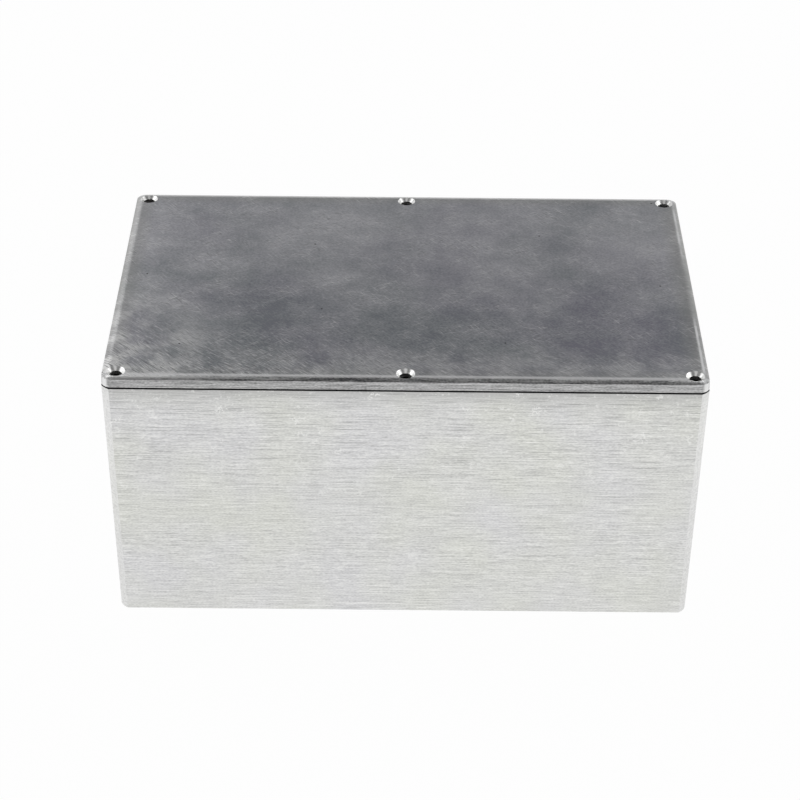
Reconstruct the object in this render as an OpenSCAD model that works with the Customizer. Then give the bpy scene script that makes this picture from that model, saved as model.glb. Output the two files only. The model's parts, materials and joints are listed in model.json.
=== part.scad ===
// Die-cast aluminium enclosure: a drafted box, and a lid that laps over its rim and screws down.
// Sizes are in millimetres. The origin is the middle of the underside, X runs along the length, Z is up.

/* [Enclosure] */
// Outside length at the seam
length = 222; // [150:1:320]
// Outside width at the seam
width = 146; // [100:1:220]
// Outside height with the lid on
height = 106; // [60:1:180]

/* [Box] */
// Distance from the flat outside faces at the seam to the axes of the corner rounds
corner_inset = 6.9; // [6.4:0.1:7]
// Radius of the corner rounds at the seam: more than the inset, so the flat faces cut them in crisp edges
corner_round = 8; // [7.8:0.1:8.6]
// Draft angle of the corner rounds: more than the walls', so they stay about as wide all the way down
corner_draft = 1.55; // [1.5:0.05:1.6]
// Thickness of the side walls
wall = 3; // [2.4:0.1:4]
// Thickness of the floor
floor_thickness = 3; // [2:0.1:5]
// Draft angle of the walls and the screw pillars
draft = 1.2; // [0.5:0.05:1.6]
// Radius of the outside bottom edge
bottom_round = 1.5; // [0.8:0.1:3]
// Radius of the upright inside corners at the floor
inside_corner = 2; // [2:0.1:5]
// Radius between the inside walls and the floor
floor_fillet = 1.5; // [0.5:0.1:1.8]

/* [Lid] */
// Height of the lid from its top to the edge of its skirt
lid_height = 4; // [3.6:0.1:7]
// Radius of the lid's upright corners at the edge of its skirt
lid_corner = 4; // [3.5:0.1:5]
// Thickness of the lid's plate
lid_plate = 2.4; // [2:0.1:3]
// Thickness of the lid's skirt at its edge
skirt_wall = 1.4; // [1:0.1:1.8]
// Draft angle of the skirt's outer face
skirt_draft = 2; // [0.5:0.5:5]
// Width of the rounded shoulder between the skirt and the flat top
shoulder_width = 3.2; // [2:0.1:3.4]
// Radius of the shoulder, which meets the skirt in a crisp edge
shoulder_radius = 6.8; // [5:0.1:12]

/* [Lap joint] */
// Height of the open line between the skirt and the ledge of the box
seam_gap = 0.7; // [0.1:0.1:1]
// Sideways play between the skirt and the tongue of the box
lap_clearance = 0.2; // [0.1:0.05:0.4]
// Chamfer on the outer edge of the tongue
tongue_chamfer = 0.4; // [0.2:0.1:0.6]

/* [Screws] */
// Distance from the outside faces to the screw axes
screw_inset = 5.2; // [4.6:0.1:8]
// Diameter of the clearance holes in the lid
screw_hole = 4.4; // [3.6:0.1:5]
// Diameter of the countersinks at the lid's top
countersink = 7; // [6:0.1:8]
// Included angle of the countersinks
countersink_angle = 90; // [80:1:100]
// Radius of the screw pillars at the seam
pillar_radius = 4.4; // [3.4:0.1:6]
// Diameter of the tapped holes in the pillars
tapped_hole = 2.9; // [2.4:0.1:3.4]
// Depth of the tapped holes, without the drill point
tapped_depth = 15; // [8:1:25]

/* [Card guides] */
// Width of the slot that takes the edge of a circuit board
board_slot = 2; // [1.4:0.1:3]
// Width of the ribs beside a slot
rib_width = 1.6; // [1:0.1:3]
// Height of the ribs above the wall
rib_height = 1.8; // [1:0.1:3]
// Distance between neighbouring slots
guide_pitch = 30; // [20:1:50]
// Distance from the top of the tongue down to the top of the ribs
guide_drop = 9; // [4:1:25]

/* [Hidden] */
$fn = 64;

// Included angle of the drill point at the bottom of a tapped hole
drill_point_angle = 118;
// How far a cutting shape runs past the face it cuts
overcut = 0.5;
// How far the corner rounds run down past the underside, which cuts them off
foot_sink = 0.1;
// Step that drafted places are rounded to
micron = 0.001;

// Heights of the lap joint: the lid's plate rests on the tongue, and the skirt stays clear of the ledge
tongue_top = height - lid_plate;
skirt_edge = height - lid_height;
ledge_top = skirt_edge - seam_gap;
ledge_width = skirt_wall + lap_clearance;

// Inside corners stay on one axis, so their radius grows with the draft from the floor to the seam
inside_radius = inside_corner + tan(draft) * (ledge_top - floor_thickness);
inside_length = length - 2 * wall;
inside_width = width - 2 * wall;

// Screw axes: four in the corners and two in the middle of the long walls
screw_x = length / 2 - screw_inset;
screw_y = width / 2 - screw_inset;
columns = [-1, 0, 1];
rows = [-1, 1];

// Half the width of a card guide, and how many stand on each half of a wall clear of the pillars
guide_half = board_slot / 2 + rib_width;
long_guides = floor((screw_x - 2 * pillar_radius - guide_half) / guide_pitch);
short_guides = floor((screw_y - 2 * pillar_radius - guide_half) / guide_pitch);

// A length to the nearest micron
function to_micron(size) = micron * round(size / micron);

// How far out a drafted wall stands at height z, from where it stands at the seam
function drafted(seam_x, z, angle = draft) = to_micron(seam_x - tan(angle) * (ledge_top - z));

// Quarter disc that fills a rounded edge, with its corner at the origin
module quarter_disc(radius) {
    intersection() {
        circle(radius);
        square(radius);
    }
}

// Section of a drafted block, from its corner axis out to its wall, with a rounded foot
module drafted_section(seam_x, low, high, foot_round, angle = draft) {
    foot_top = low + foot_round;
    foot_x = drafted(seam_x, foot_top, angle) - foot_round;
    polygon([
        [0, low],
        [foot_x, low],
        [foot_x + foot_round, foot_top],
        [drafted(seam_x, high, angle), high],
        [0, high]
    ]);
    translate([foot_x, foot_top])
        mirror([0, 1])
            quarter_disc(foot_round);
}

// Sweeps a section round a plan whose corners turn about axes set in from its sides, and fills the middle
// from low to high. The section's x runs outward from the axes of the corners, and its y is the height.
module swept_round(plan_length, plan_width, inset, low, high) {
    half_x = plan_length / 2 - inset;
    half_y = plan_width / 2 - inset;
    translate([-half_x, -half_y, low])
        cube([2 * half_x, 2 * half_y, high - low]);
    for (turn = [0, 180])
        rotate(turn) {
            translate([-half_x, half_y, 0])
                rotate([90, 0, 90])
                    linear_extrude(2 * half_x)
                        children();
            translate([half_x, half_y, 0])
                rotate([90, 0, 0])
                    linear_extrude(2 * half_y)
                        children();
            translate([half_x, half_y, 0])
                rotate_extrude(angle = 90)
                    children();
            translate([-half_x, half_y, 0])
                rotate(90)
                    rotate_extrude(angle = 90)
                        children();
        }
}

// Block between two linished faces that look along Y, with rounded feet
module linished_block(block_width, block_length) {
    rotate([90, 0, 90])
        linear_extrude(block_length, center = true)
            for (side = [0, 1])
                mirror([side, 0])
                    drafted_section(block_width / 2, 0, ledge_top, bottom_round);
}

// Outside of the box: corner rounds cut off by the drafted flat walls up to the ledge,
// then the tongue that the lid laps over
module shell() {
    tongue_x = lid_corner - ledge_width;
    intersection() {
        linished_block(width, length);
        rotate(90)
            linished_block(length, width);
        swept_round(length, width, corner_inset, -foot_sink, ledge_top + overcut)
            drafted_section(
                corner_round, -foot_sink, ledge_top + overcut, bottom_round + foot_sink, corner_draft
            );
    }
    swept_round(length, width, lid_corner, ledge_top, tongue_top)
        polygon([
            [0, ledge_top],
            [tongue_x, ledge_top],
            [tongue_x, tongue_top - tongue_chamfer],
            [tongue_x - tongue_chamfer, tongue_top],
            [0, tongue_top]
        ]);
}

// Upright section of a screw pillar, from its axis out to its drafted face
module pillar_section() {
    open_top = tongue_top + overcut;
    polygon([
        [0, 0],
        [-drafted(-pillar_radius, 0), 0],
        [-drafted(-pillar_radius, open_top), open_top],
        [0, open_top]
    ]);
}

// Side of a pillar that runs from its axis back into a wall in the +Y direction
module pillar_flank() {
    rotate([90, 0, 180])
        linear_extrude(screw_inset)
            pillar_section();
}

// Pillar in the corner between walls in the +X and +Y directions, with its round side to the inside
module corner_pillar() {
    rotate(180)
        rotate_extrude(angle = 90)
            pillar_section();
    pillar_flank();
    mirror([1, -1, 0])
        pillar_flank();
    cube([screw_inset, screw_inset, tongue_top + overcut]);
}

// Pillar against the middle of a wall in the +Y direction, with its round side to the inside
module wall_pillar() {
    rotate(180)
        rotate_extrude(angle = 180)
            pillar_section();
    pillar_flank();
    mirror([1, 0, 0])
        pillar_flank();
}

// Two ribs beside a slot, on a wall that lies in the +Y direction, sloping into the wall at the top
module card_guide(seam_y) {
    face_top = tongue_top - guide_drop - rib_height;
    for (side = [-1, 1])
        translate([side * (board_slot + rib_width) / 2, 0, 0])
            rotate([90, 0, 90])
                linear_extrude(rib_width, center = true)
                    polygon([
                        [drafted(seam_y, 0) - rib_height, 0],
                        [drafted(seam_y, face_top) - rib_height, face_top],
                        [drafted(seam_y, face_top) + wall, face_top + rib_height + wall],
                        [drafted(seam_y, face_top) + wall, 0]
                    ]);
}

// Card guides along both long walls and both short walls, the long ones with their pillar between
module card_guides() {
    for (turn = [0, 180]) {
        rotate(turn)
            for (i = [-long_guides : long_guides])
                if (i != 0)
                    translate([i * guide_pitch, 0, 0])
                        card_guide(inside_width / 2);
        rotate(turn + 90)
            for (i = [-short_guides : short_guides])
                translate([i * guide_pitch, 0, 0])
                    card_guide(inside_length / 2);
    }
}

// Hollow of the box, with the pillars and card guides left standing in it
module hollow() {
    open_top = tongue_top + overcut;
    difference() {
        swept_round(inside_length, inside_width, inside_radius, floor_thickness, open_top)
            drafted_section(inside_radius, floor_thickness, open_top, floor_fillet);
        for (y = rows)
            scale([1, y, 1]) {
                translate([0, screw_y, 0])
                    wall_pillar();
                for (x = rows)
                    scale([x, 1, 1])
                        translate([screw_x, screw_y, 0])
                            corner_pillar();
            }
        card_guides();
    }
}

// Blind tapped hole with a drill point, its mouth at the top of the tongue
module tapped_bore() {
    radius = tapped_hole / 2;
    point = radius / tan(drill_point_angle / 2);
    rotate_extrude()
        polygon([
            [0, tongue_top - tapped_depth - point],
            [radius, tongue_top - tapped_depth],
            [radius, tongue_top + overcut],
            [0, tongue_top + overcut]
        ]);
}

// Clearance hole through the lid with its countersink, which opens on above the top
module countersunk_bore() {
    slope = tan(countersink_angle / 2);
    depth = (countersink - screw_hole) / 2 / slope;
    rotate_extrude()
        polygon([
            [0, tongue_top - overcut],
            [screw_hole / 2, tongue_top - overcut],
            [screw_hole / 2, height - depth],
            [countersink / 2 + overcut * slope, height + overcut],
            [0, height + overcut]
        ]);
}

// Drafted box with its tongue, screw pillars and card guides, cast in one piece
module box() {
    color([0.8, 0.8, 0.78])
        difference() {
            shell();
            hollow();
            for (x = columns, y = rows)
                translate([x * screw_x, y * screw_y, 0])
                    tapped_bore();
        }
}

// Section of the lid's edge: a plate, a drafted skirt, and a round shoulder down to the skirt
module lid_section() {
    skirt_x = lid_corner - skirt_wall;
    shoulder_x = lid_corner - shoulder_width;
    intersection() {
        polygon([
            [0, tongue_top],
            [skirt_x, tongue_top],
            [skirt_x, skirt_edge],
            [lid_corner, skirt_edge],
            [to_micron(lid_corner - tan(skirt_draft) * lid_height), height],
            [0, height]
        ]);
        union() {
            translate([0, skirt_edge])
                square([shoulder_x, lid_height]);
            translate([shoulder_x, height - shoulder_radius])
                quarter_disc(shoulder_radius);
        }
    }
}

// Flat lid with a rounded shoulder, and a skirt that laps over the tongue
module lid() {
    color([0.56, 0.56, 0.58])
        difference() {
            swept_round(length, width, lid_corner, tongue_top, height)
                lid_section();
            for (x = columns, y = rows)
                translate([x * screw_x, y * screw_y, 0])
                    countersunk_bore();
        }
}

box();
lid();
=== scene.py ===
"""Looks of the die-cast aluminium enclosure: finishes of its two castings, studio light and the camera."""
import json
import math

import bpy
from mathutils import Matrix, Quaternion, Vector


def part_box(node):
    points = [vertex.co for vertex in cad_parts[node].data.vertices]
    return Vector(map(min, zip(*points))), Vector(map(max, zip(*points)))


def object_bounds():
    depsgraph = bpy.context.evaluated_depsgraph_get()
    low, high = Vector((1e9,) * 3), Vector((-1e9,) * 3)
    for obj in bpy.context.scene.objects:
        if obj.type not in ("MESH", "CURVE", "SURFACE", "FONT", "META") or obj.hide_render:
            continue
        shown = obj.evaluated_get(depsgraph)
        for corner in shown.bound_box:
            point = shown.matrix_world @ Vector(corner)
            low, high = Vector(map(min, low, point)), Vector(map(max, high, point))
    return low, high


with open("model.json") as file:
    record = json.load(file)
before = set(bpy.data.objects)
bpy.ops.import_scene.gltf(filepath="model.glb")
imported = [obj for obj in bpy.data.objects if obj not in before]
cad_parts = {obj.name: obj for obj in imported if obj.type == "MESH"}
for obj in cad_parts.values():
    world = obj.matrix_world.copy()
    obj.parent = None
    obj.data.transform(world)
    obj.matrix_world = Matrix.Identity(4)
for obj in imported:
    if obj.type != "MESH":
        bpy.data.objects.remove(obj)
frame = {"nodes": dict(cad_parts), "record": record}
cad_low, cad_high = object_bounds()

# Sizes in metres, from the frame; only the seam's open line and the countersinks aren't in it
MM = 0.001
SEAM_GAP = 0.7 * MM
COUNTERSINK_RADIUS = 3.5 * MM
lid_low, lid_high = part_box("lid")
ledge = lid_low.z - SEAM_GAP
mounts = {mount["name"]: mount for mount in frame["record"]["mounts"]}
hole_spacing = mounts["lid_corner_holes"]["dims"]
hole_x = hole_spacing["spacing_x_mm"] * MM / 2
hole_y = hole_spacing["spacing_y_mm"] * MM / 2

# Places of the sockets that the Mix node has for colours
MIX_A = 6
MIX_B = 7
MIX_RESULT = 2

WHITE = "FFFFFF"

# Value that a noise varies about; a RANGE further down says between which values a look comes in, and SHARES
# how strong it is at its two ends
NOISE_MIDDLE = 0.5


def linear(hex_colour):
    """An sRGB hex colour such as "C8C9CA" as linear RGBA."""
    channels = [int(hex_colour[i:i + 2], 16) / 255 for i in (0, 2, 4)]
    return [c / 12.92 if c <= 0.04045 else ((c + 0.055) / 1.055) ** 2.4 for c in channels] + [1.0]


def add(tree, kind, inputs=(), **settings):
    """Adds a node with its settings; an input gets a value, or another node's output as a link."""
    node = tree.nodes.new("ShaderNode" + kind)
    for name, value in settings.items():
        setattr(node, name, value)
    for key, value in dict(inputs).items():
        if isinstance(value, bpy.types.NodeSocket):
            tree.links.new(value, node.inputs[key])
        else:
            node.inputs[key].default_value = value
    return node


def new_material(name):
    """An empty node material and its tree."""
    material = bpy.data.materials.new(name)
    material.use_nodes = True
    material.node_tree.nodes.clear()
    return material, material.node_tree


def per(size_mm):
    """Repeats in a metre of a pattern with this size in millimetres."""
    return 1 / (size_mm * MM)


# Lines that a linishing belt leaves: layers of noise from short to long, drawn about twice as coarse as
# they are, so that they still show
LINE_MM = ((1.0, 1.0, 0.3), (4.5, 4.5, 0.22), (14.0, 14.0, 0.22), (34.0, 34.0, 0.24))
LINE_DETAIL = 0.0
LINE_MIDDLE = NOISE_MIDDLE * len(LINE_MM)


def belt_lines(tree, place):
    """The layers of lines added up, as an output that varies about LINE_MIDDLE."""
    total = 0.0
    for sizes in LINE_MM:
        repeats = [per(size) for size in sizes]
        stretched = add(tree, "VectorMath", {0: place["Object"], 1: repeats}, operation="MULTIPLY").outputs[0]
        layer = add(tree, "TexNoise", {"Vector": stretched, "Scale": 1.0, "Detail": LINE_DETAIL}).outputs[0]
        total = add(tree, "Math", {0: layer, 1: total}, operation="ADD").outputs[0]
    return total


def corner_turn(tree, facing):
    """How far a surface looks between X and Y, as corner rounds do: the lesser of the two in its normal."""
    facing_x = add(tree, "Math", {0: facing["X"]}, operation="ABSOLUTE").outputs[0]
    facing_y = add(tree, "Math", {0: facing["Y"]}, operation="ABSOLUTE").outputs[0]
    return add(tree, "Math", {0: facing_x, 1: facing_y}, operation="MINIMUM").outputs[0]


# Linished die-cast aluminium. The belt leaves fine lines along the flat walls, pale and dark, and a few
# deeper scores, and handling leaves pale scribbles and nicks, most of them towards the seam. The corner
# rounds, which the belt didn't reach, are grainy and paler towards the seam, partly as cast skin and partly
# as a painted reflection. The underside and the inside keep the dull grey skin of the casting, and from the
# lap joint under the lid up everything is painted dark, as stain and as painted shade in the joint's hollow.
WALL_COOL = "D9D9DA"
WALL_WARM = "DADBD5"
WALL_CLOUD_MM = 34.0
WALL_HUE_RANGE = {"From Min": 0.35, "From Max": 0.65}
WALL_PALE = "FCFCF9"
WALL_DARK = "A8A8A7"
WALL_LINE_REACH = 1.0
WALL_RIM = "B4B4B3"
RIM_DEPTH = 22 * MM
RIM_SHARE = 0.95
RIM_POWER = 5.0
WEAR_DEPTH = 60 * MM
WEAR_SHARES = {"To Min": 0.25, "To Max": 0.6}
SCORE_COLOUR = "8E8E8E"
SCORE_MM = (14.0, 14.0, 0.3)
SCORE_RANGE = {"From Min": 0.58, "From Max": 0.7}
NICK_COLOUR = "FAFAF8"
NICK_MM = (1.1, 1.1, 0.7)
NICK_RANGE = {"From Min": 0.62, "From Max": 0.76, "To Max": 0.6}
WALL_MARKS = ((SCORE_MM, SCORE_RANGE, SCORE_COLOUR), (NICK_MM, NICK_RANGE, NICK_COLOUR))
MARK_DETAIL = 1.0
SCRIBBLE_MM = 2.0
SCRIBBLE_RANGE = {"From Min": 0.055, "From Max": 0.015}
SCRIBBLE_PATCH_MM = 6.0
SCRIBBLE_PATCH_RANGE = {"From Min": 0.58, "From Max": 0.68}
# The corner rounds' pale colour is partly the cast skin and partly a painted reflection
CORNER_DARK = "D2D2D1"
CORNER_PALE_SHEEN = "F0F0EF"
CORNER_RANGE = {"From Min": 0.15, "From Max": 0.25, "To Max": 0.7}
CORNER_LIFT = 0.15
CORNER_TONE_RANGE = {"From Min": 0.34, "From Max": 0.74}
CAST_DARK = "929394"
CAST_PALE = "B2B3B3"
CAST_GRAIN_MM = 0.9
CAST_TONE_RANGE = {"From Min": 0.6, "From Max": 1.4}
NO_HEIGHT = (1.0, 1.0, 0.0)
CAST_RANGE = {"From Min": 40 * MM, "From Max": 20 * MM}
CAST_ROUGHNESS = 0.55
# Dark paint over everything from the ledge up: stain of the lap joint and painted shade in its hollow
LAP_STAIN_AND_SHADE = "383838"
LAP_FADE = 0.03 * MM
LINISHED_ROUGHNESS = 0.36
LINISHED_ANISOTROPY = 0.5
QUARTER_TURN = 0.25
LINE_BUMP = {"Strength": 0.15, "Distance": 0.02 * MM}


def linished_casting():
    material, tree = new_material("linished_cast_aluminium")
    place = add(tree, "TexCoord").outputs
    spot = add(tree, "SeparateXYZ", {0: place["Object"]}).outputs
    facing = add(tree, "SeparateXYZ", {0: place["Normal"]}).outputs

    # Layers of the finish from the lowest up, each with its share of the surface and its colour
    layers = []

    # A faint change from cool to warm, and over it the lines of the belt
    clouds = add(tree, "TexNoise", {"Vector": place["Object"], "Scale": per(WALL_CLOUD_MM)}).outputs[0]
    hue = add(tree, "MapRange", {"Value": clouds, **WALL_HUE_RANGE}).outputs[0]
    colour = add(tree, "Mix", {"Factor": hue, MIX_A: linear(WALL_COOL), MIX_B: linear(WALL_WARM)},
                 data_type="RGBA").outputs[MIX_RESULT]
    lines = belt_lines(tree, place)
    for reach, line_colour in ((WALL_LINE_REACH, WALL_PALE), (-WALL_LINE_REACH, WALL_DARK)):
        line_share = add(tree, "MapRange", {"Value": lines, "From Min": LINE_MIDDLE,
                                            "From Max": LINE_MIDDLE + reach}).outputs[0]
        layers.append((line_share, linear(line_colour)))

    # Towards the seam the walls are greyer and have more scores and nicks
    rise = add(tree, "MapRange", {"Value": spot["Z"], "From Min": ledge - RIM_DEPTH, "From Max": ledge,
                                  "To Max": RIM_SHARE}).outputs[0]
    rim = add(tree, "Math", {0: rise, 1: RIM_POWER}, operation="POWER").outputs[0]
    layers.append((rim, linear(WALL_RIM)))
    wear = add(tree, "MapRange", {"Value": spot["Z"], "From Min": ledge - WEAR_DEPTH, "From Max": ledge,
                                  **WEAR_SHARES}).outputs[0]
    for sizes, mark_range, mark_colour in WALL_MARKS:
        repeats = [per(size) for size in sizes]
        stretched = add(tree, "VectorMath", {0: place["Object"], 1: repeats}, operation="MULTIPLY").outputs[0]
        noise = add(tree, "TexNoise", {"Vector": stretched, "Scale": 1.0, "Detail": MARK_DETAIL}).outputs[0]
        shape = add(tree, "MapRange", {"Value": noise, **mark_range}).outputs[0]
        marks = add(tree, "Math", {0: shape, 1: wear}, operation="MULTIPLY").outputs[0]
        layers.append((marks, linear(mark_colour)))

    # Scribbles: thin level lines of a noise, kept in patches
    swirl = add(tree, "TexNoise", {"Vector": place["Object"], "Scale": per(SCRIBBLE_MM)}).outputs[0]
    off_level = add(tree, "Math", {0: swirl, 1: NOISE_MIDDLE}, operation="SUBTRACT").outputs[0]
    off_line = add(tree, "Math", {0: off_level}, operation="ABSOLUTE").outputs[0]
    curls = add(tree, "MapRange", {"Value": off_line, **SCRIBBLE_RANGE, "To Max": wear}).outputs[0]
    patch = add(tree, "TexNoise", {"Vector": place["Object"], "Scale": per(SCRIBBLE_PATCH_MM)}).outputs[0]
    kept = add(tree, "MapRange", {"Value": patch, **SCRIBBLE_PATCH_RANGE}).outputs[0]
    scribbles = add(tree, "Math", {0: curls, 1: kept}, operation="MULTIPLY").outputs[0]
    layers.append((scribbles, linear(NICK_COLOUR)))

    # Corner rounds, grainy and paler towards the seam; the pale colour is partly the cast skin and partly a
    # painted reflection
    corner = add(tree, "MapRange", {"Value": corner_turn(tree, facing), **CORNER_RANGE}).outputs[0]
    grain = add(tree, "TexNoise", {"Vector": place["Object"], "Scale": per(CAST_GRAIN_MM)}).outputs[0]
    lift = add(tree, "MapRange", {"Value": spot["Z"], "From Min": cad_low.z, "From Max": ledge,
                                  "To Max": CORNER_LIFT}).outputs[0]
    lifted = add(tree, "Math", {0: grain, 1: lift}, operation="ADD").outputs[0]
    corner_tone = add(tree, "MapRange", {"Value": lifted, **CORNER_TONE_RANGE}).outputs[0]
    corner_skin_and_sheen = add(tree, "Mix", {"Factor": corner_tone, MIX_A: linear(CORNER_DARK),
                                    MIX_B: linear(CORNER_PALE_SHEEN)}, data_type="RGBA").outputs[MIX_RESULT]
    layers.append((corner, corner_skin_and_sheen))

    # Casting skin where the belt didn't reach: faces that don't look away from the upright middle axis
    flat_place = add(tree, "VectorMath", {0: place["Object"], 1: NO_HEIGHT}, operation="MULTIPLY").outputs[0]
    outward = add(tree, "VectorMath", {0: flat_place, 1: place["Normal"]},
                  operation="DOT_PRODUCT").outputs["Value"]
    cast = add(tree, "MapRange", {"Value": outward, **CAST_RANGE}).outputs[0]
    speckle = add(tree, "Math", {0: grain, 1: clouds}, operation="ADD").outputs[0]
    cast_tone = add(tree, "MapRange", {"Value": speckle, **CAST_TONE_RANGE}).outputs[0]
    cast_skin = add(tree, "Mix", {"Factor": cast_tone, MIX_A: linear(CAST_DARK), MIX_B: linear(CAST_PALE)},
                    data_type="RGBA").outputs[MIX_RESULT]
    layers.append((cast, cast_skin))

    # Stain of the lap joint and painted shade in its hollow: everything from the ledge up is coloured dark
    lap_stain_and_shade = add(tree, "MapRange", {"Value": spot["Z"], "From Min": ledge - LAP_FADE,
                                    "From Max": ledge}).outputs[0]
    layers.append((lap_stain_and_shade, linear(LAP_STAIN_AND_SHADE)))

    for share, over in layers:
        colour = add(tree, "Mix", {"Factor": share, MIX_A: colour, MIX_B: over},
                     data_type="RGBA").outputs[MIX_RESULT]

    # The belt's lines stretch the highlights across them, and the casting skin is duller
    roughness = add(tree, "MapRange", {"Value": cast, "To Min": LINISHED_ROUGHNESS,
                                       "To Max": CAST_ROUGHNESS}).outputs[0]
    tangent = add(tree, "Tangent", direction_type="RADIAL", axis="Z").outputs[0]
    bump = add(tree, "Bump", {"Height": lines, **LINE_BUMP}).outputs[0]
    metal = add(tree, "BsdfPrincipled", {
        "Base Color": colour,
        "Metallic": 1.0,
        "Roughness": roughness,
        "Anisotropic": LINISHED_ANISOTROPY,
        "Anisotropic Rotation": QUARTER_TURN,
        "Tangent": tangent,
        "Normal": bump,
    })
    add(tree, "OutputMaterial", {"Surface": metal.outputs[0]})
    return material


# Tumbled die-cast aluminium. The lid's top keeps a mottled, bluish grey skin with a fine grain and pits,
# and is painted paler towards the back as a painted reflection. Hair scratches lie on it in a few directions.
# Handling has worn it paler at the front left corner and along the front, where slanting scratches crowd, and
# has taken the blue out of its rim. A painted highlight runs along the front edge, where the top turns down
# into the shoulder, and along the right end but for its middle. The front shoulder and the skirt have the
# lines of the belt like the walls but are greyer, the skirt's corners are painted pale as a painted
# reflection, and the screw holes are machined bright.
# The scratches are drawn wider than they are, so that they still show.
TOP_DARK = "9494A0"
TOP_COOL = "91969C"
TOP_PALE = "D2D2D7"
TOP_HUE_RANGE = {"From Min": 0.4, "From Max": 0.6}
TOP_TONE_RANGE = {"From Min": 1.35, "From Max": 2.35}
CLOUD_MM = 48.0
BLOT_MM = 11.0
BLOT_DETAIL = 3.0
GRAIN_MM = 0.9
GRAIN_WEIGHT = 1.1
GRAIN_BUMP = {"Strength": 0.12, "Distance": 0.05 * MM}
# Painted reflection: the lid's top is painted paler towards the back
BACK_SHEEN_DEPTH = 70 * MM
BACK_SHEEN_WANDER = 60 * MM
BACK_SHEEN_TONE = 0.45
TOP_RIM = "B4B4AF"
TOP_RIM_WIDTH = 9 * MM
TOP_RIM_SHARE = 0.7
TOP_WORN = "F4F4F3"
WORN_LENGTH = 50 * MM
WORN_DEPTH = 75 * MM
WORN_SHARE = 0.95
FRONT_DEPTH = 28 * MM
FRONT_SHARE = 0.32
PATCH_RANGE = {"From Min": 0.38, "From Max": 0.62, "To Min": 0.3, "To Max": 1.5}
SCRATCH_PALE = "FAFAFA"
SCRATCH_DARK = "808084"
SCRATCH_BEND = 8 * MM
SCRATCH_RAMP = 0.11
HAIR_MM = (6.5, 0.4, 6.5)
HAIR_TURNS = (12, 55, -35)
HAIR_SPARSE = 0.11
HAIR_SHARE = 0.42
SLANT_MM = (3.6, 0.45, 3.6)
SLANT_TURN = 44
SLANT_SPARSE = 0.06
SLANT_DEPTH = 42 * MM
SLANT_DEPTH_SHARES = {"To Min": 1.0, "To Max": 0.1}
SLANT_LENGTH = 190 * MM
SLANT_LENGTH_SHARES = {"To Min": 1.0, "To Max": 0.35}
PIT_COLOUR = "38383A"
PIT_SPACING_MM = 62.0
PIT_RADIUS_MM = 0.5
SHOULDER_DARK = "808082"
SHOULDER_PALE = "F2F2F2"
SHOULDER_RANGE = {"From Min": -0.08, "From Max": -0.25}
# Painted highlight along the front edge of the lid's top and along its right end
EDGE_HIGHLIGHT_COLOUR = "EDEDEE"
EDGE_HIGHLIGHT_SHARE = 0.75
EDGE_HIGHLIGHT_CORE = 0.3
EDGE_HIGHLIGHT_ROUGHNESS = 0.55
FRONT_HIGHLIGHT_INSET = 3.1 * MM
FRONT_HIGHLIGHT_REACH = 1.2 * MM
END_HIGHLIGHT_INSET = 1.75 * MM
END_HIGHLIGHT_REACH = 0.7 * MM
END_HIGHLIGHT_START = 10 * MM
END_HIGHLIGHT_FULL = 40 * MM
SKIRT_DARK = "7A7A7A"
SKIRT_PALE = "CACACA"
SKIRT_LINE_REACH = 0.5
SKIRT_RANGE = {"From Min": 0.7, "From Max": 0.5}
# Painted reflection on the skirt's corners
SKIRT_CORNER_SHEEN = "E6E6E6"
SKIRT_CORNER_RANGE = {"From Min": 0.3, "From Max": 0.55}
MACHINED_COLOUR = "F6F6F5"
MACHINED_ROUGHNESS = 0.32
TUMBLED_ROUGHNESS = 0.32


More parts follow.
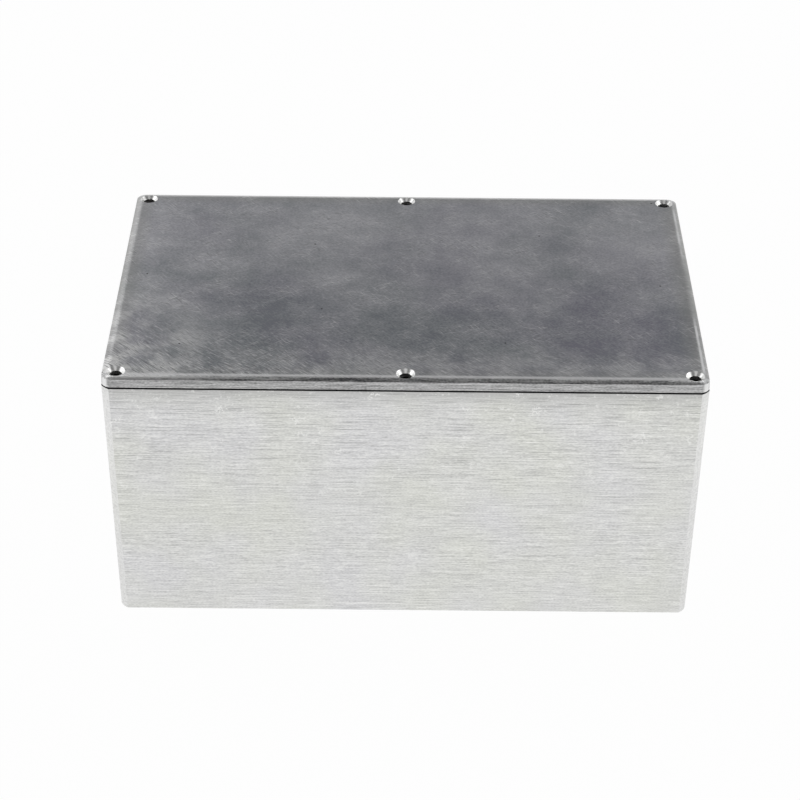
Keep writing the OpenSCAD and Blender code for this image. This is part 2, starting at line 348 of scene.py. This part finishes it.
def tumbled_casting():
    material, tree = new_material("tumbled_cast_aluminium")
    place = add(tree, "TexCoord").outputs
    spot = add(tree, "SeparateXYZ", {0: place["Object"]}).outputs
    facing = add(tree, "SeparateXYZ", {0: place["Normal"]}).outputs

    # Layers of the finish from the lowest up, each with its share of the surface and its colour
    layers = []

    # Mottled skin with a fine grain, painted paler towards the back as a painted reflection; the line where
    # it fades wanders with the clouds
    clouds = add(tree, "TexNoise", {"Vector": place["Object"], "Scale": per(CLOUD_MM)}).outputs
    blots = add(tree, "TexNoise", {"Vector": place["Object"], "Scale": per(BLOT_MM),
                                   "Detail": BLOT_DETAIL}).outputs[0]
    grain = add(tree, "TexNoise", {"Vector": place["Object"], "Scale": per(GRAIN_MM)}).outputs[0]
    mottle = add(tree, "Math", {0: blots, 1: clouds[0]}, operation="ADD").outputs[0]
    speckle = add(tree, "Math", {0: grain, 1: GRAIN_WEIGHT, 2: mottle}, operation="MULTIPLY_ADD").outputs[0]
    wandering = add(tree, "Math", {0: clouds[0], 1: BACK_SHEEN_WANDER, 2: spot["Y"]},
                    operation="MULTIPLY_ADD").outputs[0]
    back_sheen_start = (BACK_SHEEN_WANDER - BACK_SHEEN_DEPTH) / 2
    back_sheen = add(tree, "MapRange", {"Value": wandering, "From Min": back_sheen_start,
                                  "From Max": back_sheen_start + BACK_SHEEN_DEPTH, "To Max": BACK_SHEEN_TONE},
               interpolation_type="SMOOTHSTEP").outputs[0]
    sheened_speckle = add(tree, "Math", {0: speckle, 1: back_sheen}, operation="ADD").outputs[0]
    tone = add(tree, "MapRange", {"Value": sheened_speckle, **TOP_TONE_RANGE}).outputs[0]
    drift = add(tree, "SeparateXYZ", {0: clouds["Color"]}).outputs["Y"]
    hue = add(tree, "MapRange", {"Value": drift, **TOP_HUE_RANGE}).outputs[0]
    colour = add(tree, "Mix", {"Factor": hue, MIX_A: linear(TOP_DARK), MIX_B: linear(TOP_COOL)},
                 data_type="RGBA").outputs[MIX_RESULT]
    layers.append((tone, linear(TOP_PALE)))

    # Wear: round the rim, along the front and round the front left corner
    along_half = add(tree, "Math", {0: spot["X"]}, operation="ABSOLUTE").outputs[0]
    across_half = add(tree, "Math", {0: spot["Y"]}, operation="ABSOLUTE").outputs[0]
    end_distance = add(tree, "Math", {0: lid_high.x, 1: along_half}, operation="SUBTRACT").outputs[0]
    side_distance = add(tree, "Math", {0: lid_high.y, 1: across_half}, operation="SUBTRACT").outputs[0]
    edge_distance = add(tree, "Math", {0: end_distance, 1: side_distance}, operation="MINIMUM").outputs[0]
    rim = add(tree, "MapRange", {"Value": edge_distance, "From Min": TOP_RIM_WIDTH, "From Max": 0.0,
                                 "To Max": TOP_RIM_SHARE}).outputs[0]
    layers.append((rim, linear(TOP_RIM)))
    from_corner = add(tree, "VectorMath", {0: place["Object"], 1: (lid_low.x, lid_low.y, lid_high.z)},
                      operation="SUBTRACT").outputs[0]
    reached = add(tree, "VectorMath", {0: from_corner, 1: (1 / WORN_LENGTH, 1 / WORN_DEPTH, 0.0)},
                  operation="MULTIPLY").outputs[0]
    corner_reach = add(tree, "VectorMath", {0: reached}, operation="LENGTH").outputs["Value"]
    corner_wear = add(tree, "MapRange", {"Value": corner_reach, "From Min": 1.0, "From Max": 0.0,
                                         "To Max": WORN_SHARE}).outputs[0]
    front_wear = add(tree, "MapRange", {"Value": spot["Y"], "From Min": lid_low.y + FRONT_DEPTH,
                                        "From Max": lid_low.y, "To Max": FRONT_SHARE}).outputs[0]
    worn = add(tree, "Math", {0: corner_wear, 1: front_wear}, operation="MAXIMUM").outputs[0]
    patches = add(tree, "MapRange", {"Value": blots, **PATCH_RANGE}).outputs[0]
    worn_patches = add(tree, "Math", {0: worn, 1: patches}, operation="MULTIPLY").outputs[0]
    layers.append((worn_patches, linear(TOP_WORN)))

    # Hair scratches in patches, and slanting ones that crowd at the front and thin out to the right
    crowd = add(tree, "MapRange", {"Value": spot["Y"], "From Min": lid_low.y,
                                   "From Max": lid_low.y + SLANT_DEPTH, **SLANT_DEPTH_SHARES}).outputs[0]
    thinning = add(tree, "MapRange", {"Value": spot["X"], "From Min": lid_low.x,
                                      "From Max": lid_low.x + SLANT_LENGTH, **SLANT_LENGTH_SHARES}).outputs[0]
    thin_crowd = add(tree, "Math", {0: crowd, 1: thinning}, operation="MULTIPLY").outputs[0]
    slant_share = add(tree, "Math", {0: thin_crowd, 1: corner_wear}, operation="MAXIMUM").outputs[0]
    hair_share = add(tree, "Math", {0: patches, 1: HAIR_SHARE}, operation="MULTIPLY").outputs[0]
    bent = add(tree, "VectorMath", {0: clouds["Color"], 1: [SCRATCH_BEND] * 3, 2: place["Object"]},
               operation="MULTIPLY_ADD").outputs[0]
    hairs = [(turn, HAIR_MM, HAIR_SPARSE, hair_share) for turn in HAIR_TURNS]
    slants = [(SLANT_TURN, SLANT_MM, SLANT_SPARSE, slant_share)]
    for turn, sizes, sparse, share in hairs + slants:
        turned = add(tree, "VectorRotate", {"Vector": bent, "Angle": math.radians(turn)},
                     rotation_type="Z_AXIS").outputs[0]
        repeats = [per(size) for size in sizes]
        stretched = add(tree, "VectorMath", {0: turned, 1: repeats}, operation="MULTIPLY").outputs[0]
        noise = add(tree, "TexNoise", {"Vector": stretched, "Scale": 1.0}).outputs[0]
        for way, mark_colour in ((1, SCRATCH_PALE), (-1, SCRATCH_DARK)):
            start = NOISE_MIDDLE + way * sparse
            full = NOISE_MIDDLE + way * (sparse + SCRATCH_RAMP)
            shape = add(tree, "MapRange", {"Value": noise, "From Min": start, "From Max": full}).outputs[0]
            marks = add(tree, "Math", {0: shape, 1: share}, operation="MULTIPLY").outputs[0]
            layers.append((marks, linear(mark_colour)))

    # Pits: a few small dark dots
    pits = add(tree, "TexVoronoi", {"Vector": place["Object"], "Scale": per(PIT_SPACING_MM)},
               voronoi_dimensions="2D").outputs["Distance"]
    pit_reach = PIT_RADIUS_MM / PIT_SPACING_MM
    pitted = add(tree, "MapRange", {"Value": pits, "From Min": pit_reach,
                                    "From Max": pit_reach / 2}).outputs[0]
    layers.append((pitted, linear(PIT_COLOUR)))

    # Lines of the belt on the front shoulder
    lines = belt_lines(tree, place)
    belt_tone = add(tree, "MapRange", {"Value": lines, "From Min": LINE_MIDDLE - SKIRT_LINE_REACH,
                                       "From Max": LINE_MIDDLE + SKIRT_LINE_REACH}).outputs[0]
    shoulder_tone = add(tree, "Math", {0: belt_tone, 1: corner_wear}, operation="ADD").outputs[0]
    shoulder_skin = add(tree, "Mix", {"Factor": shoulder_tone, MIX_A: linear(SHOULDER_DARK),
                                      MIX_B: linear(SHOULDER_PALE)}, data_type="RGBA").outputs[MIX_RESULT]
    turned_front = add(tree, "MapRange", {"Value": facing["Y"], **SHOULDER_RANGE}).outputs[0]
    layers.append((turned_front, shoulder_skin))

    # Painted highlights on the edges: a narrow band along the front, and a thinner one at the right end but
    # for its middle
    end_highlight_share = add(tree, "MapRange", {"Value": across_half, "From Min": END_HIGHLIGHT_START,
                                       "From Max": END_HIGHLIGHT_FULL, "To Max": EDGE_HIGHLIGHT_SHARE}).outputs[0]
    end_highlight_patches = add(tree, "Math", {0: end_highlight_share, 1: patches}, operation="MULTIPLY").outputs[0]
    front_edge = (spot["Y"], lid_low.y + FRONT_HIGHLIGHT_INSET, FRONT_HIGHLIGHT_REACH, EDGE_HIGHLIGHT_SHARE)
    right_edge = (spot["X"], lid_high.x - END_HIGHLIGHT_INSET, END_HIGHLIGHT_REACH, end_highlight_patches)
    edge_highlight = 0.0
    for position, edge, reach, share in (front_edge, right_edge):
        past_edge = add(tree, "Math", {0: position, 1: edge}, operation="SUBTRACT").outputs[0]
        beside_edge = add(tree, "Math", {0: past_edge}, operation="ABSOLUTE").outputs[0]
        highlight_band = add(tree, "MapRange", {"Value": beside_edge, "From Min": reach,
                                      "From Max": EDGE_HIGHLIGHT_CORE * reach, "To Max": share}).outputs[0]
        edge_highlight = add(tree, "Math", {0: highlight_band, 1: edge_highlight}, operation="MAXIMUM").outputs[0]
    layers.append((edge_highlight, linear(EDGE_HIGHLIGHT_COLOUR)))

    # Linished skirt: the steep outer face, with its corners painted paler as a painted reflection
    skirt = add(tree, "Mix", {"Factor": belt_tone, MIX_A: linear(SKIRT_DARK), MIX_B: linear(SKIRT_PALE)},
                data_type="RGBA").outputs[MIX_RESULT]
    corner = add(tree, "MapRange", {"Value": corner_turn(tree, facing), **SKIRT_CORNER_RANGE}).outputs[0]
    cornered = add(tree, "Mix", {"Factor": corner, MIX_A: skirt, MIX_B: linear(SKIRT_CORNER_SHEEN)},
                   data_type="RGBA").outputs[MIX_RESULT]
    steep = add(tree, "MapRange", {"Value": facing["Z"], **SKIRT_RANGE}).outputs[0]
    layers.append((steep, cornered))

    # Machined holes, by the distance from the nearest screw axis; along X the axes stand in even steps
    along = add(tree, "Math", {0: spot["X"], 1: hole_x / 2}, operation="PINGPONG").outputs[0]
    across = add(tree, "Math", {0: across_half, 1: hole_y}, operation="SUBTRACT").outputs[0]
    offset = add(tree, "CombineXYZ", {"X": along, "Y": across}).outputs[0]
    axis_distance = add(tree, "VectorMath", {0: offset}, operation="LENGTH").outputs["Value"]
    machined = add(tree, "Math", {0: axis_distance, 1: COUNTERSINK_RADIUS}, operation="LESS_THAN").outputs[0]
    layers.append((machined, linear(MACHINED_COLOUR)))

    for share, over in layers:
        colour = add(tree, "Mix", {"Factor": share, MIX_A: colour, MIX_B: over},
                     data_type="RGBA").outputs[MIX_RESULT]

    # The painted highlight bands scatter the light more than the skin does
    tumbled = add(tree, "MapRange", {"Value": edge_highlight, "To Min": TUMBLED_ROUGHNESS,
                                     "To Max": EDGE_HIGHLIGHT_ROUGHNESS}).outputs[0]
    roughness = add(tree, "MapRange", {"Value": machined, "To Min": tumbled,
                                       "To Max": MACHINED_ROUGHNESS}).outputs[0]
    bump = add(tree, "Bump", {"Height": grain, **GRAIN_BUMP}).outputs[0]
    metal = add(tree, "BsdfPrincipled", {
        "Base Color": colour,
        "Metallic": 1.0,
        "Roughness": roughness,
        "Normal": bump,
    })
    add(tree, "OutputMaterial", {"Surface": metal.outputs[0]})
    return material


# Studio floor: white paper, seen as plain white but for the faint shadow that the box throws on it.
# From below it is clear, so that the underside can be seen.
FLOOR_REACH = 40.0
FLOOR_CORNERS = ((-1, -1), (1, -1), (1, 1), (-1, 1))
FLOOR_COLOUR = "F4F4F4"
FLOOR_GLOW_SHARE = 0.98


def paper_floor():
    material, tree = new_material("white_paper")
    ray = add(tree, "LightPath").outputs
    seen = add(tree, "Math", {0: ray["Is Camera Ray"], 1: ray["Is Glossy Ray"]},
               operation="MAXIMUM").outputs[0]
    shown = add(tree, "Math", {0: seen, 1: ray["Is Transmission Ray"]}, operation="MAXIMUM").outputs[0]
    share = add(tree, "Math", {0: shown, 1: FLOOR_GLOW_SHARE}, operation="MULTIPLY").outputs[0]
    paper = add(tree, "BsdfDiffuse", {"Color": linear(FLOOR_COLOUR)})
    glow = add(tree, "Emission", {"Color": linear(WHITE), "Strength": 1.0})
    lit = add(tree, "MixShader", {0: share, 1: paper.outputs[0], 2: glow.outputs[0]})
    clear = add(tree, "BsdfTransparent")
    below = add(tree, "NewGeometry").outputs["Backfacing"]
    either = add(tree, "MixShader", {0: below, 1: lit.outputs[0], 2: clear.outputs[0]})
    add(tree, "OutputMaterial", {"Surface": either.outputs[0]})
    return material


def make_floor():
    mesh = bpy.data.meshes.new("studio_floor")
    corners = [(x * FLOOR_REACH, y * FLOOR_REACH, cad_low.z) for x, y in FLOOR_CORNERS]
    mesh.from_pydata(corners, [], [list(range(len(corners)))])
    mesh.materials.append(paper_floor())
    floor = bpy.data.objects.new("studio_floor", mesh)
    bpy.context.scene.collection.objects.link(floor)


# World: white to the camera and round the horizon, as a paper sweep is, and dim higher up,
# so that the lid reflects grey
HORIZON_TOP = math.sin(math.radians(6))
DIM_FROM = math.sin(math.radians(37))
DIM_SHARES = {"To Min": 1.0, "To Max": 0.13}


def make_world():
    world = bpy.data.worlds.new("studio")
    bpy.context.scene.world = world
    world.use_nodes = True
    tree = world.node_tree
    tree.nodes.clear()
    direction = add(tree, "TexCoord").outputs["Generated"]
    height = add(tree, "SeparateXYZ", {0: direction}).outputs["Z"]
    level = add(tree, "MapRange", {"Value": height, "From Min": HORIZON_TOP, "From Max": DIM_FROM,
                                   **DIM_SHARES}, interpolation_type="SMOOTHSTEP").outputs[0]
    ray = add(tree, "LightPath").outputs
    strength = add(tree, "Math", {0: level, 1: ray["Is Camera Ray"]}, operation="MAXIMUM").outputs[0]
    background = add(tree, "Background", {"Color": linear(WHITE), "Strength": strength})
    add(tree, "OutputWorld", {"Surface": background.outputs[0]})


# Point that the lamps and the camera look at
TARGET = Vector((-1.94 * MM, 0.0, 52.0 * MM))


def direction_to(azimuth, elevation):
    """Unit vector from the object; azimuth 0 is the camera's side and 180 is behind, in degrees."""
    turn = math.radians(azimuth)
    rise = math.radians(elevation)
    return Vector((math.sin(turn) * math.cos(rise), -math.cos(turn) * math.cos(rise), math.sin(rise)))


# Soft boxes: a wide one behind and above draws the bright line along the lid's front edge. One on each side
# and one in front show in the countersinks, and small ones show in the front corners and along the left edge.
LAMP_DISTANCE = 1.3


def make_softbox(name, azimuth, elevation, width, depth, power):
    """A lamp that faces the target; angles as in direction_to, sizes in metres, power in watts."""
    data = bpy.data.lights.new(name, "AREA")
    data.shape = "RECTANGLE"
    data.size = width
    data.size_y = depth
    data.energy = power
    lamp = bpy.data.objects.new(name, data)
    bpy.context.scene.collection.objects.link(lamp)
    towards = direction_to(azimuth, elevation)
    lamp.location = TARGET + towards * LAMP_DISTANCE
    lamp.rotation_mode = "QUATERNION"
    lamp.rotation_quaternion = (-towards).to_track_quat("-Z", "Y")
    lamp.visible_camera = False


# Camera: the photograph's viewing angle, through a long lens
VIEW_ELEVATION = 32.109
VIEW_ROLL = math.radians(0.537)
VIEW_DISTANCE = 985.16 * MM
SENSOR_WIDTH_MM = 36.0
LENS_MM = 110.93


def make_camera():
    data = bpy.data.cameras.new("photo_camera")
    data.sensor_width = SENSOR_WIDTH_MM
    data.lens = LENS_MM
    camera = bpy.data.objects.new("photo_camera", data)
    bpy.context.scene.collection.objects.link(camera)
    back = direction_to(0, VIEW_ELEVATION)
    camera.location = TARGET + back * VIEW_DISTANCE
    camera.rotation_mode = "QUATERNION"
    camera.rotation_quaternion = (-back).to_track_quat("-Z", "Y") @ Quaternion((0, 0, 1), VIEW_ROLL)
    bpy.context.scene.camera = camera


frame["nodes"]["box"].material_slots[0].material = linished_casting()
frame["nodes"]["lid"].material_slots[0].material = tumbled_casting()
make_floor()
make_world()
make_softbox("back_softbox", azimuth=180, elevation=46, width=1.6, depth=0.18, power=0.2)
make_softbox("left_softbox", azimuth=263, elevation=34, width=0.9, depth=0.6, power=2.5)
make_softbox("right_softbox", azimuth=97, elevation=34, width=0.9, depth=0.6, power=2.5)
make_softbox("front_softbox", azimuth=0, elevation=60, width=0.6, depth=0.5, power=0.6)
make_softbox("left_corner_light", azimuth=215, elevation=52, width=0.45, depth=0.3, power=0.8)
make_softbox("right_corner_light", azimuth=145, elevation=52, width=0.45, depth=0.3, power=0.8)
make_softbox("left_edge_light", azimuth=202, elevation=24, width=0.3, depth=0.3, power=0.2)
make_camera()
bpy.context.scene.view_settings.view_transform = "Standard"
